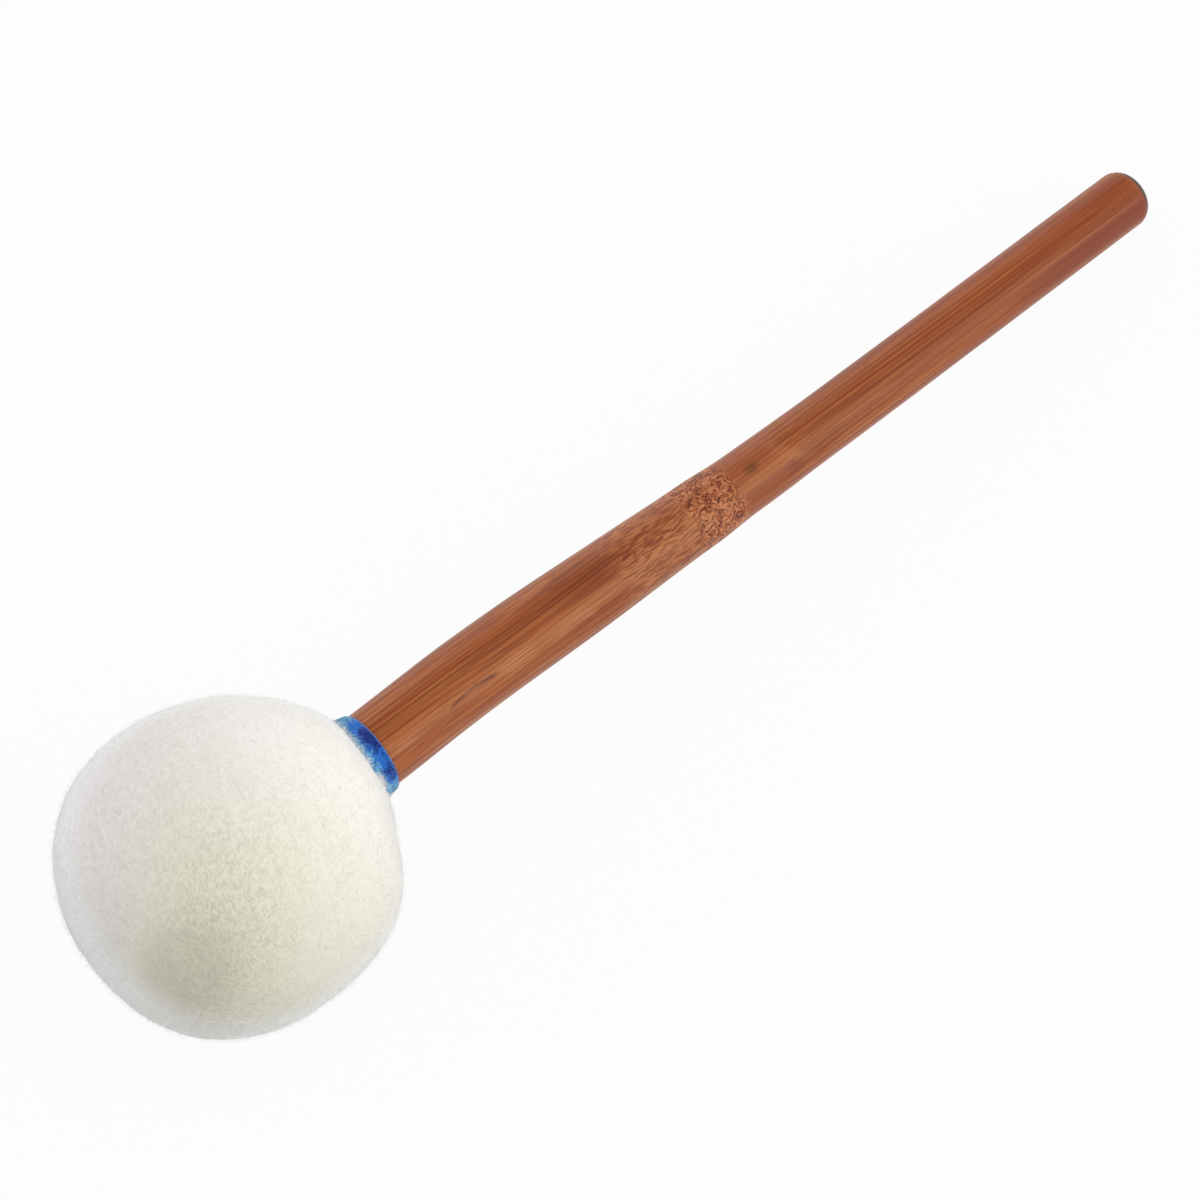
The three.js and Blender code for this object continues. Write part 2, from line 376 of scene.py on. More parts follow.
def wool_tone(shader, place, settings):
    """The wool is cooler on the left and on top, with painted shade low down in front, and painted light near
    the neck and towards the ball's outline in the view.
    """
    x, y, z = shader.split(place)
    right, up = in_view(x, y)
    patches = shader.noise(place, 0.05, 2)
    warmth = shader.rise(right + (patches - 0.5) * 10, -36, -14)
    on_top = shader.rise(up, -12, 24) * shader.rise(right, 18, 6)
    # Painted shade: a darker, greyer patch low down in the view, on the side that faces the viewer
    from_painted_shade = (right + 13) * (right + 13) + (up + 28) * (up + 28)
    painted_shade = shader.rise(from_painted_shade, 210, 0) * shader.rise(z, 4, 16)
    # Painted light: the wool is painted whiter near the neck
    painted_neck_light = shader.rise(x * 0.9 + y * 0.3, 4, 28)
    # Painted rim light: the wool is painted near white towards the ball's outline in the view, where it turns
    # away from the viewer
    rim = shader.rise(abs(z), 21, 7)
    return shader.layered(
        settings.cool_colour,
        (settings.colour, warmth),
        (srgb(238, 232, 236), on_top * 0.6),
        (srgb(241, 239, 240), shader.rise(right, 2, 26) * 0.32),
        (srgb(196, 184, 164), painted_shade * 0.38),
        (srgb(249, 247, 242), painted_neck_light * 0.75),
        (srgb(254, 254, 254), rim * 0.85),
    )


def felt_material(settings):
    """Matted wool, whose fibres cross on a slow swirl."""
    shader = Shader("soft_wool_felt")
    place = shader.place()
    x, y, z = shader.split(place)
    right, up = in_view(x, y)
    swirl = shader.stretched(shader.noise(place, 0.11, 2, output="Color"), (9, 9, 9))
    clumps = shader.noise(place, 0.6, 3, 0.6)
    matted = clumps * 0.22
    for turn in (-0.5, 0.45):
        lie = shader.vector_math("ADD", shader.upright(place, turn), swirl)
        matted = matted + shader.noise(shader.stretched(lie, (1.9, 0.42, 1.9)), 1, 2, 0.55) * 0.39

    # Painted shade: the matting's hollows are painted darker, and its relief made deeper, most of all low
    # down in the view and a little on the left
    low_down = shader.rise(up, 16, -20) * shader.rise(abs(right + 5), 20, 2)
    left_side = shader.rise(right, 0, -12) * shader.rise(z, 8, 22)
    matting_shade = low_down * 0.34 + left_side * 0.1 + 0.12
    tone = wool_tone(shader, place, settings)
    # Painted shade: the hollows of the matting are painted a darker, greyer tone
    hollows = shader.mix(srgb(190, 184, 166), tone, shader.rise(matted, 0.4, 0.58))
    relief = shader.bump(clumps, 0.5 * MM, 0.18)
    shader.set(
        Base_Color=shader.mix(tone, hollows, matting_shade), Roughness=0.95,
        Normal=shader.bump(matted * (matting_shade * 1.6 + 0.2), 0.4 * MM, 0.38, relief),
        Sheen_Weight=1.0, Sheen_Roughness=0.32, Specular_IOR_Level=0.1,
    )
    return shader.material


def wool_material(settings, name, bleached):
    """Single wool fibres, in locks of slightly different tone."""
    shader = Shader(name)
    place = shader.place()
    tone = shader.mix(wool_tone(shader, place, settings), srgb(252, 251, 249), bleached)
    darker = shader.mix(tone, srgb(206, 200, 184), 0.16)
    locks = shader.rise(shader.noise(place, 0.9, 2), 0.4, 0.56)
    shader.set(
        Base_Color=shader.mix(darker, tone, locks), Roughness=0.9,
        Sheen_Weight=0.8, Sheen_Roughness=0.32, Specular_IOR_Level=0.1,
    )
    return shader.material


def band_material(settings, name, bristly):
    """Mottled blue felt with two deeper patches, paler near the ball, and with a painted sheen that makes it
    paler at the view's edges.
    """
    shader = Shader(name)
    place = shader.place()
    x, y, z = shader.split(place)
    front = shader.rise(z, 0, 4)
    mottle = shader.noise(place, 0.6, 3, 0.6, 0.8)
    specks = shader.noise(place, 1.5, 3, 0.65)
    upper_patch = shader.stretch_of(y, 0.8, 4.6, 2.6) * front * shader.rise(x, MOUTH, 43.2)
    lower_patch = shader.stretch_of(y, -7.2, -4.6, 1.6) * front
    depth = mottle + upper_patch * 0.32 + lower_patch * 0.14 + (specks - 0.5) * 0.3
    darkness = shader.rise(depth, 0.48, 0.76) * 0.9
    # Painted sheen: the band is painted paler where it turns away from the viewer
    painted_edge_sheen = shader.rise(abs(y), 7.4, 10.0)
    near_ball = shader.rise(x, 42.0, 39.0)
    wear_and_edge_sheen = specks + painted_edge_sheen * 0.3 + near_ball * 0.27 - darkness * 0.06
    colour = shader.layered(
        settings.colour,
        (settings.dark_colour, darkness),
        (settings.pale_colour, shader.rise(wear_and_edge_sheen, 0.56, 0.8)),
        # Painted highlight: a pale lilac line along the band's front edge, by the handle's shoulder
        (srgb(132, 150, 206), shader.rise(x, 43.4, 43.8) * 0.7),
    )
    if bristly:
        shader.set(Base_Color=colour, Roughness=0.8, Sheen_Weight=0.2, Specular_IOR_Level=0.2)
        return shader.material
    fibres = shader.noise(shader.stretched(place, (2.2, 0.9, 0.9)), 1, 4, 0.65, 1.2)
    normal = shader.bump(fibres + specks * 0.4, 0.5 * MM, 0.9)
    shader.set(
        Base_Color=colour, Roughness=0.95, Normal=normal,
        Sheen_Weight=0.35, Specular_IOR_Level=0.15,
    )
    return shader.material


# Bamboo


class Grain:
    """The cane's fibres as noise. They run straight, and feather out before the node."""

    def __init__(self, shader, node_place):
        self.place = shader.place()
        x, y, z = shader.split(self.place)
        self.x, self.y, self.z = x, y, z
        self.front = shader.rise(z, -1, 2.5)
        starting = shader.rise(x, node_place - 38, node_place - 26)
        self.before = starting * shader.rise(x, node_place + 5, node_place - 2)
        wander = (shader.fibres(self.place, 0.02, 0.05) - 0.5) * 1.6
        feather = (shader.fibres(self.place, 0.17, 0.22, 1.5) - 0.5) * self.before * 2.6
        lines = shader.join(x, y + wander + feather, z + wander + feather * 0.6)
        self.broad = shader.fibres(lines, 0.007, 0.24, 2)
        self.middling = shader.fibres(lines, 0.012, 0.95, 3, 0.55)
        self.fine = shader.fibres(lines, 0.022, 2.1, 3, 0.6)
        self.dashes = shader.fibres(lines, 0.11, 3.4, 2)
        self.vessels = shader.fibres(lines, 0.01, 0.75)
        self.waves = shader.rise(shader.fibres(lines, 0.22, 1.8, 2, 0.6), 0.4, 0.6)


def fibre_colour(shader, settings, grain):
    """Straight fibres, combed in bunches, which turn wavy before the node."""
    tone = grain.broad * 0.22 + grain.middling * 0.38 + grain.fine * 0.4
    wavy = shader.mix(srgb(130, 56, 18), srgb(196, 124, 72), grain.waves)
    combed = (grain.y * 5.3 + (grain.broad - 0.5) * 8 + (grain.middling - 0.5) * 3).sine()
    bunches = shader.rise(shader.fibres(grain.place, 0.02, 0.16), 0.42, 0.58)
    return shader.layered(
        shader.mix(settings.colour, settings.dark_colour, 0.85),
        (settings.colour, shader.rise(tone, 0.42, 0.52)),
        (settings.pale_colour, shader.rise(tone, 0.49, 0.6) * 0.65),
        (settings.dark_colour, shader.rise(grain.dashes, 0.6, 0.7) * 0.5),
        (settings.dark_colour, shader.rise(abs(grain.vessels - 0.5), 0.07, 0.01) * 0.5),
        (wavy, grain.before * 0.7),
        (settings.dark_colour, shader.rise(combed, 0, 0.9) * bunches * 0.4),
        (settings.pale_colour, shader.rise(combed, -0.1, -0.9) * bunches * 0.25),
    )


def knots(shader, grain, node_place):
    """Where the knotted fibres of the node lie, then their folds and the furrows between them."""
    ragged = grain.x + (grain.middling - 0.5) * 7
    knot = shader.stretch_of(ragged, node_place - 6.4, node_place + 6.8, 2.2)
    worms = shader.noise(shader.stretched(grain.place, (0.4, 0.44, 0.44)), 1, 1, 0.5, 0.9)
    folds = (worms * 26).sine()
    return knot, folds, shader.rise(folds, -0.45, -0.95)


def stripes(shader, settings, grain):
    """Bands along the swell, thin streaks from the neck and a tongue of short dark strokes."""
    x, y = grain.x, grain.y
    drift = grain.broad - 0.5
    dark_band = shader.stretch_of(y + drift * 3, 1.6, 6.2, 1.6) * shader.rise(x, 250, 190)
    pale_band = shader.stretch_of(y + drift * 3, -3.6, -1.4, 1.4) * shader.rise(x, 220, 185)
    wavering = y + drift * 1.2
    streaks = shader.line(wavering, 3.4, 0.4) + shader.line(wavering, 2.5, 0.3) * 0.8
    fading = shader.rise(x, 116, 74) * 0.6 + shader.rise(x, 122, 116) * 0.2
    start = shader.rise(x + (grain.middling - 0.5) * 40, 92, 108)
    end = shader.rise(x + (grain.fine - 0.5) * 24, 124, 116)
    tongue = start * end * shader.stretch_of(y, 1.8, 6.6, 1.4)
    strokes = (y * 5.7 + drift * 9).sine()
    return [
        (settings.dark_colour, dark_band * 0.2),
        (settings.pale_colour, pale_band * 0.2),
        (srgb(110, 42, 8), streaks * fading * 0.7),
        (settings.dark_colour, tongue * 0.3),
        (srgb(102, 36, 8), tongue * shader.rise(strokes, 0.1, 0.8) * 0.65),
    ]


def scars(shader, grain):
    """A bent scratch with painted shade in a shallow hollow round it, a worn patch with gleams, flecks past
    it and a chip.
    """
    x, y = grain.x, grain.y
    middle, reach = 71, 8
    share = (x - middle) * (1 / reach)
    bend = share * share
    wobble = shader.noise(shader.join(x * 0.2, 0.5, 0.5), 1, 1.5) - 0.5
    path = y + 2.3 + bend * 0.55 + wobble * 1.1
    thinner = 1 - shader.stretch_of(x, 69, 72, 2) * 0.35
    scratch = shader.line(path, 0, 0.55) * shader.stretch_of(x, 65, 76.5, 3) * thinner
    # Painted shade: the shallow hollow round the scratch is painted darker
    hollow = shader.rise(abs(path + 0.5) + bend * 0.35, 0.6, 0.1)
    ragged = x + (grain.fine - 0.5) * 14
    patch = shader.stretch_of(ragged, 82, 87, 4) * shader.stretch_of(y, -4.8, -1.9, 0.6)
    gleams = (y * 7.4 + x * 0.1).sine()
    flecked = shader.stretch_of(x, 96, 106, 4) * shader.stretch_of(y, -4.8, -2.9, 0.8)
    flecks = shader.noise(shader.join(x * 0.14, y * 1.9, grain.z * 0.2), 1, 1)
    chip = shader.stretch_of(x, 47.5, 51, 2) * shader.stretch_of(y, -3.2, -2.6, 0.5)
    return [
        (srgb(104, 44, 26), scratch * 0.85),
        (srgb(138, 70, 38), hollow * 0.35),
        (srgb(206, 138, 86), patch * shader.rise(gleams, -0.2, 0.9) * 0.55),
        (srgb(194, 126, 82), flecked * shader.rise(flecks, 0.44, 0.58) * 0.4),
        (srgb(196, 132, 92), chip * shader.rise(grain.fine, 0.44, 0.58) * 0.5),
    ]


def grip_marks(shader, grain):
    """A smudge and a painted highlight in a pale bow past the node, then two lines and two redder strips
    along the grip.
    """
    x, y = grain.x, grain.y
    along, aside = x - 164.5, y - 0.9
    smudge = along * along * 0.3 + aside * aside * 0.8 + (grain.dashes - 0.5) * 6
    # Painted highlight: a faint pale bow across the cane past the node
    bow = x - 174 + y * 0.6 - y * y * 0.09
    painted_bow_highlight = shader.rise(abs(bow), 3.2, 0.6) * shader.stretch_of(y, -4.6, 3, 2)
    wavering = y + (grain.broad - 0.5) * 0.3
    dark_line = shader.line(wavering, -0.9, 0.45) * shader.stretch_of(x, 205, 250, 14)
    pale_line = shader.line(y, -2.7, 0.4) * shader.stretch_of(x, 258, 298, 12)
    lower_strip = shader.stretch_of(y, -6.9, -3.8, 0.9) * shader.rise(x, 245, 282)
    middle_strip = shader.stretch_of(y, -3.6, -0.6, 1.4) * shader.rise(x, 185, 215)
    return [
        (srgb(78, 44, 14), shader.rise(smudge, 3, -0.6) * 0.6),
        (srgb(196, 128, 84), painted_bow_highlight * 0.16),
        (srgb(108, 46, 20), dark_line * 0.5),
        (srgb(198, 126, 78), pale_line * 0.45),
        (srgb(126, 44, 2), lower_strip * 0.65),
        (srgb(142, 58, 8), middle_strip * 0.35),
    ]


def bamboo_material(settings):
    """Lacquered cane with its knotted node. The marks are on the side that faces the viewer."""
    shader = Shader("lacquered_bamboo")
    node_place = settings.node_place / MM
    grain = Grain(shader, node_place)
    knot, folds, furrows = knots(shader, grain, node_place)
    marks = stripes(shader, settings, grain) + scars(shader, grain) + grip_marks(shader, grain)
    plain = shader.stretch_of(grain.x, node_place + 9, node_place + 20, 5)
    # The rounded end is painted dark: dark end grain, with painted shade on the rounding
    rounded_end = shader.rise(grain.x, BUTT - 3.5, BUTT - 2.5)
    colour = shader.layered(
        fibre_colour(shader, settings, grain),
        (srgb(170, 84, 40), knot * 0.7),
        (srgb(96, 38, 8), knot * furrows * 0.95),
        (srgb(212, 142, 92), knot * shader.rise(folds, 0.2, 0.95) * 0.75),
        (srgb(144, 58, 2), shader.rise(grain.x, 180, 270) * 0.45),
        (srgb(162, 84, 42), plain * 0.45),
        *[(tint, amount * grain.front) for tint, amount in marks],
        (srgb(52, 34, 16), rounded_end * 0.9),
    )
    fibres = shader.bump(grain.fine * 0.5 + grain.middling * 0.5, 0.1 * MM, 0.45)
    raised = knot * (1 - furrows) + grain.before * grain.waves * 0.4
    shader.set(
        Base_Color=colour, Roughness=0.38 + grain.fine * 0.14 + knot * 0.06,
        Normal=shader.bump(raised, 0.12 * MM, 0.5, fibres),
        Coat_Weight=settings.gloss, Coat_Roughness=0.2, Specular_IOR_Level=0.34,
    )
    return shader.material


def plain_grain_material(name, pale, dark, stretch, roughness):
    shader = Shader(name)
    grain = shader.noise(shader.stretched(shader.place(), stretch), 1, 3, 0.6, 0.4)
    shader.set(
        Base_Color=shader.mix(dark, pale, shader.rise(grain, 0.34, 0.6)), Roughness=roughness,
        Normal=shader.bump(grain, 0.2 * MM, 0.5), Specular_IOR_Level=0.3,
    )
    return shader.material


# Meshes


def added(name, data):
    """Adds an object with this data to the scene."""
    item = bpy.data.objects.new(name, data)
    bpy.context.scene.collection.objects.link(item)
    return item


def looking(name, data, target, offset):
    """Adds a camera or a lamp that looks at a point from an offset."""
    item = added(name, data)
    item.location = target + offset
    item.rotation_euler = offset.to_track_quat("Z", "Y").to_euler()
    return item


def finished(work, name, material, nodes):
    """Puts a bmesh drawn in millimetres in the mallet's frame onto the CAD frame as a piece."""
    work.transform(MALLET @ Matrix.Scale(MM, 4))
    mesh = bpy.data.meshes.new(name)
    work.to_mesh(mesh)
    work.free()
    return dressed(mesh, material, nodes)


def dressed(mesh, material, nodes=()):
    """Makes a mesh a smooth piece in its material, under the mesh's own name."""
    mesh.materials.clear()
    mesh.materials.append(material)
    mesh.polygons.foreach_set("use_smooth", [True] * len(mesh.polygons))
    piece = added(mesh.name, mesh)
    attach(piece, BODY)
    if nodes:
        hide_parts(*nodes)
    return piece


def closed_up(work):
    """Merges the doubled points of a spun shape and turns its faces outwards."""
    bmesh.ops.remove_doubles(work, verts=work.verts, dist=1e-4)
    bmesh.ops.recalc_face_normals(work, faces=work.faces)


def ring_point(place, radius, turn):
    """A point round the mallet's line, turned from Z towards Y."""
    return Vector((place, radius * math.sin(turn), radius * math.cos(turn)))


def around(along, turn):
    """A direction from the ball's middle: degrees from the nose, and round the mallet's line."""
    along, turn = math.radians(along), math.radians(turn)
    across = ACROSS * math.cos(turn) + VIEWER * math.sin(turn)
    return Vector((-math.cos(along), 0, 0)) + across * math.sin(along)


# Swells and hollows of the hand-shaped ball: direction, breadth in degrees, height in millimetres
SWELLS = (
    (around(0, 0), 30, -1.1),
    (around(57, 0), 34, 1.3),
    (around(100, 4), 24, -0.5),
    (around(88, 180), 30, -0.7),
    (around(128, 180), 26, 1.4),
    (around(48, 180), 24, 0.7),
    (around(180, 0), 32, 1.4),
    (around(70, 100), 30, 0.3),
)


def felt_radius(direction, settings):
    radius = settings.radius / MM
    for middle, breadth, height in SWELLS:
        radius += height * math.exp(-((direction.angle(middle) / math.radians(breadth)) ** 2))
    coarse = noise.noise(direction * 2.3)
    small = noise.noise(direction * 7 + Vector((5, 5, 5)))
    return radius + settings.lumps / MM * (coarse + small * 0.5)


def felt_point(direction, settings, lift=0.0):
    """A point on the ball in the mallet's frame. Towards the neck the ball closes round its line."""
    point = BALL_OFFSET + direction * (felt_radius(direction, settings) + lift)
    point.y -= BALL_OFFSET.y * smoothstep(point.x, CLOSING_START, CLOSING_END)
    return point


def cavity_radius(angle):
    """The hollow inside the felt, which the inner pieces fill. It is drawn in towards the neck."""
    drawn_in = smoothstep(angle, 0.78 * math.pi, math.pi)
    return COVER_RADIUS * (1 - 0.015 * math.cos(4 * angle)) - drawn_in - COVER_WALL


def mouth_shift(away):
    """How far the hand-cut mouth lies towards the butt, more at the view's edges than in front."""
    return MOUTH_SPREAD * away.normalized().dot(ACROSS) ** 2 - MOUTH_BACK


def with_mouth(point):
    """Moves a point on the outside of the ball with the mouth."""
    away = Vector((0, point.y, point.z))
    if away.length <= BAND_OUTER:
        return point
    return point + Vector((mouth_shift(away) * smoothstep(point.x, MOUTH - 4, MOUTH), 0, 0))


def extrude_ring(work, edges, place, radius):
    """Carries an open ring of edges on to another place and radius about the mallet's line."""
    made = bmesh.ops.extrude_edge_only(work, edges=edges)["geom"]
    for vert in (item for item in made if isinstance(item, bmesh.types.BMVert)):
        vert.co = ring_point(place, radius, math.atan2(vert.co.y, vert.co.z))
    return [item for item in made if isinstance(item, bmesh.types.BMEdge)]


def felt_ball(settings):
    """A ball cut off at the mouth, turned in under the band to the thread, and hollow inside."""
    work = bmesh.new()
    bmesh.ops.create_icosphere(work, subdivisions=7, radius=1)
    for vert in work.verts:
        vert.co = felt_point(vert.co.normalized(), settings)
    everything = work.verts[:] + work.edges[:] + work.faces[:]
    bmesh.ops.bisect_plane(
        work, geom=everything, plane_co=(MOUTH, 0, 0), plane_no=(1, 0, 0), clear_outer=True
    )
    ring = [edge for edge in work.edges if edge.is_boundary]
    arris, edge_width = 0.3, 0.2
    inwards = [
        (MOUTH - 0.1, BAND_OUTER + 0.32),
        (MOUTH - 0.5, BAND_OUTER + 0.26),
        (BAND_START + arris, BAND_OUTER + 0.25),
        (BAND_START - arris, BAND_OUTER - arris),
        (BAND_START - arris, GATHER_OUTER + arris),
        (BAND_START, GATHER_OUTER),
        (BAND_END - edge_width, GATHER_OUTER),
        (BAND_END, GATHER_OUTER - arris),
        (BAND_END, GATHER_INNER + edge_width),
        (BAND_END - arris, GATHER_INNER),
    ]
    opening = math.asin(GATHER_INNER / cavity_radius(math.pi))
    steps = 24
    for i in range(steps):
        angle = (math.pi - opening) * (1 - i / steps)
        radius = cavity_radius(angle)
        inwards.append((-radius * math.cos(angle), radius * math.sin(angle)))
    for place, radius in inwards:
        ring = extrude_ring(work, ring, place, radius)
    bmesh.ops.contextual_create(work, geom=ring)
    bmesh.ops.recalc_face_normals(work, faces=work.faces)
    for vert in work.verts:
        vert.co = with_mouth(vert.co)
    return work


def rest_on_floor(work):
    """The soft ball gives a little where it lies."""
    give = 0.6 * MM
    to_mallet = MALLET.to_3x3().inverted()
    for vert in work.verts:
        height = (MALLET @ (vert.co * MM)).z
        if height < give:
            share = max(height + give, 0) / (2 * give)
            vert.co -= to_mallet @ Vector((0, 0, height - share * share * give)) / MM


def strand_mesh(paths, name):
    """One mesh from many tapered fibres, each a list of points with its radius."""
    section = bpy.data.curves.new(name + "_section", "CURVE")
    section.dimensions = "2D"
    loop = section.splines.new("POLY")
    loop.points.add(FIBRE_SIDES - 1)
    for i, point in enumerate(loop.points):
        turn = 2 * math.pi * i / FIBRE_SIDES
        point.co = (math.cos(turn), math.sin(turn), 0, 1)
    loop.use_cyclic_u = True
    section_object = added(name + "_section", section)
    curve = bpy.data.curves.new(name + "_curve", "CURVE")
    curve.dimensions = "3D"
    curve.bevel_mode = "OBJECT"
    curve.bevel_object = section_object
    curve.use_fill_caps = True
    for points, radius in paths:
        spline = curve.splines.new("POLY")
        last = len(points) - 1
        spline.points.add(last)
        spline.points.foreach_set("co", [number for point in points for number in (*point, 1)])
        tapered = [radius * (0.45 + 0.55 * math.sin(math.pi * i / last)) for i in range(last + 1)]
        spline.points.foreach_set("radius", tapered)
    holder = added(name + "_holder", curve)
    graph = bpy.context.evaluated_depsgraph_get()
    mesh = bpy.data.meshes.new_from_object(holder.evaluated_get(graph))
    for item in (holder, section_object):
        bpy.data.objects.remove(item)
    for item in (curve, section):
        bpy.data.curves.remove(item)
    mesh.name = name
    return mesh


def wool_path(start, settings, pick, fuzz):
    """One fibre that wanders over the ball from a direction, pressed into it or standing out of it."""
    lie = ACROSS * math.cos(SLANT) + Vector((math.sin(SLANT), 0, 0)) + VIEWER * 0.2
    lie = (lie - start * lie.dot(start)).normalized()
    heading = Matrix.Rotation(pick.uniform(-3, 3) if fuzz else pick.gauss(0, 0.7), 3, start) @ lie
    length = pick.uniform(0.1, 0.8) if fuzz else settings.strand_length / MM * pick.uniform(0.55, 1.5)
    bend = pick.gauss(0, 0.22)
    steps = 2 if fuzz else 4
    step = length / steps
    reach = settings.radius / MM
    top = pick.uniform(0.3, 1.15) ** 2 if fuzz else pick.uniform(0.0, 0.08)
    points = []
    direction = start.copy()
    for i in range(steps + 1):
        share = i / steps
        lift = top * share - 0.03 if fuzz else top * math.sin(math.pi * share) - 0.05
        points.append(felt_point(direction, settings, lift))
        heading = (Matrix.Rotation(bend * step, 3, direction) @ heading).normalized()
        direction = (direction + heading * step / reach).normalized()
        heading = (heading - direction * heading.dot(direction)).normalized()
    return points


def wool_strands(settings, count, pick, fuzz):
    """Fibres spread over the ball, clear of the floor and of the mouth."""
    paths = []
    width = settings.strand_width * (0.42 if fuzz else 1)
    while len(paths) < count:
        start = Vector((pick.gauss(0, 1), pick.gauss(0, 1), pick.gauss(0, 1))).normalized()
        if felt_point(start, settings).x > MOUTH - 0.2:
            continue
        places = wool_path(start, settings, pick, fuzz)
        if max(place.x for place in places) > MOUTH + 0.1:
            continue
        points = [MALLET @ (with_mouth(place) * MM) for place in places]
        if min(point.z for point in points) < FLOOR_GAP:
            continue
        paths.append((points, width / 2 * pick.uniform(0.6, 1.25)))
    return paths


def mouth_strands(settings, pick):
    """Short fibres that stray in tufts from the felt's mouth over the band."""
    paths = []
    tufts = [pick.uniform(0, 2 * math.pi) for i in range(MOUTH_TUFTS)]
    while len(paths) < MOUTH_FIBRES:
        turn = pick.choice(tufts) + pick.gauss(0, 0.035)
        mouth = MOUTH + mouth_shift(ring_point(0, 1, turn))
        place = mouth - pick.uniform(0.1, 0.9)
        heading = pick.gauss(0, 0.9)
        bend = pick.gauss(0, 0.4)
        length = pick.uniform(0.8, 3.0)
        lift = pick.uniform(0.04, 0.35)
        points = []
        for i in range(5):
            radius = BAND_OUTER + 0.3 + lift * math.sin(math.pi * i / 5)
            points.append(MALLET @ (ring_point(place, radius, turn) * MM))
            heading += bend * length / 4
            place += math.cos(heading) * length / 4
            turn += math.sin(heading) * length / 4 / BAND_OUTER
        if place < mouth + 2.0:
            paths.append((points, settings.strand_width / 2 * pick.uniform(0.6, 1.2)))
    return paths


def band_radius(place):
    """Outer radius of the band, which is drawn in towards the handle's shoulder."""
    share = min(max((place - BAND_START) / (BAND_FRONT - BAND_START), 0), 1)
    return BAND_OUTER + 0.1 * math.sin(math.pi * share) - 0.5 * smoothstep(place, 39.2, 43.4)


def band_strip():
    """The felt strip bent round the neck, open at its joint underneath."""
    gap = 0.5 / BAND_INNER
    corner = 0.7
    steps = 14
    outline = [(BAND_START, BAND_INNER)]
    for middle, first in ((BAND_START + corner, math.pi), (BAND_FRONT - corner, math.pi / 2)):
        rim = band_radius(middle)
        for i in range(5):
            turn = first - math.pi / 2 * i / 4
            outline.append((middle + corner * math.cos(turn), rim - corner + corner * math.sin(turn)))
        if first == math.pi:
            step = (BAND_FRONT - BAND_START) / steps
            places = [BAND_START + step * i for i in range(2, steps - 1)]
            outline += [(place, band_radius(place)) for place in places]
    outline += [(BAND_END, BAND_INNER)]
    work = bmesh.new()
    verts = [work.verts.new(ring_point(place, radius, math.pi - gap / 2)) for place, radius in outline]
    face = work.faces.new(verts)
    bmesh.ops.spin(
        work, geom=[face] + verts + face.edges[:], axis=(-1, 0, 0), cent=(0, 0, 0),
        angle=2 * math.pi - gap, steps=180,
    )
    closed_up(work)
    for vert in work.verts:
        away = Vector((0, vert.co.y, vert.co.z))
        if away.length > BAND_INNER + 0.4:
            lump = noise.noise(vert.co * 0.7) * 0.09 + noise.noise(vert.co * 2.1) * 0.06
            vert.co += away.normalized() * lump
    return work


def band_strands(count, pick):
    """Fibres that lie on the band and dip into it at its edges."""
    paths = []
    dip = 0.4
    while len(paths) < count:
        turn = pick.uniform(0, 2 * math.pi)
        place = pick.uniform(BAND_START + 0.2, BAND_FRONT - 0.25)
        heading = pick.uniform(0, 2 * math.pi)
        length = pick.uniform(0.8, 2.6)
        bend = pick.gauss(0, 0.5)
        top = pick.uniform(0.05, 0.42)
        points = []
        for i in range(5):
            radius = band_radius(place) + top * math.sin(math.pi * min(i / 4 * 1.2, 1) * 0.9)
            edge = min(place - BAND_START, BAND_FRONT - place)
            if edge < dip:
                radius -= dip - max(edge, 0)
            points.append(MALLET @ (ring_point(place, radius, turn) * MM))
            heading += bend * length / 4
            place = min(max(place + math.cos(heading) * length / 4, BAND_START + 0.05), BAND_FRONT)
            turn += math.sin(heading) * length / 4 / BAND_OUTER
        paths.append((points, 0.045 * MM * pick.uniform(0.6, 1.2)))
    return paths


def handle_radius(place):
    """Radius of the cane: a swelled front, a waist past the node and a slight flare to the butt."""
    reach = place - SHOULDER
    waisted = SWELL + (WAIST - SWELL) * smoothstep(reach, SWELL_REACH, WAIST_REACH)
    flare = min(max((reach - WAIST_REACH) / (BUTT - SHOULDER - WAIST_REACH), 0), 1)
    return (waisted + (GRIP - waisted) * flare) / 2


# Turning points of the cane's bend: share of its length, and how far aside in millimetres
BOW = ((0, 0), (0.12, 0.89), (0.29, 0), (0.5, -1.05), (1, -0.315))


def handle_bow(place):
    """Sideways bend of the cane at a place, a smooth curve through its few turning points."""
    share = min((place - SHOULDER) / (BUTT - SHOULDER), 1)
    if share <= 0:
        return 0
    i = next(i for i in range(len(BOW) - 1) if share <= BOW[i + 1][0])
    (start, low), (end, high) = BOW[i], BOW[i + 1]
    before = BOW[max(i - 1, 0)]
    after = BOW[min(i + 2, len(BOW) - 1)]
    first = (high - before[1]) / (end - before[0]) * (end - start)
    last = (after[1] - low) / (after[0] - start) * (end - start)
    t = (share - start) / (end - start)
    blend = t * t * (3 - 2 * t)
    return low + (high - low) * blend + (t**3 - 2 * t**2 + t) * first + (t**3 - t**2) * last


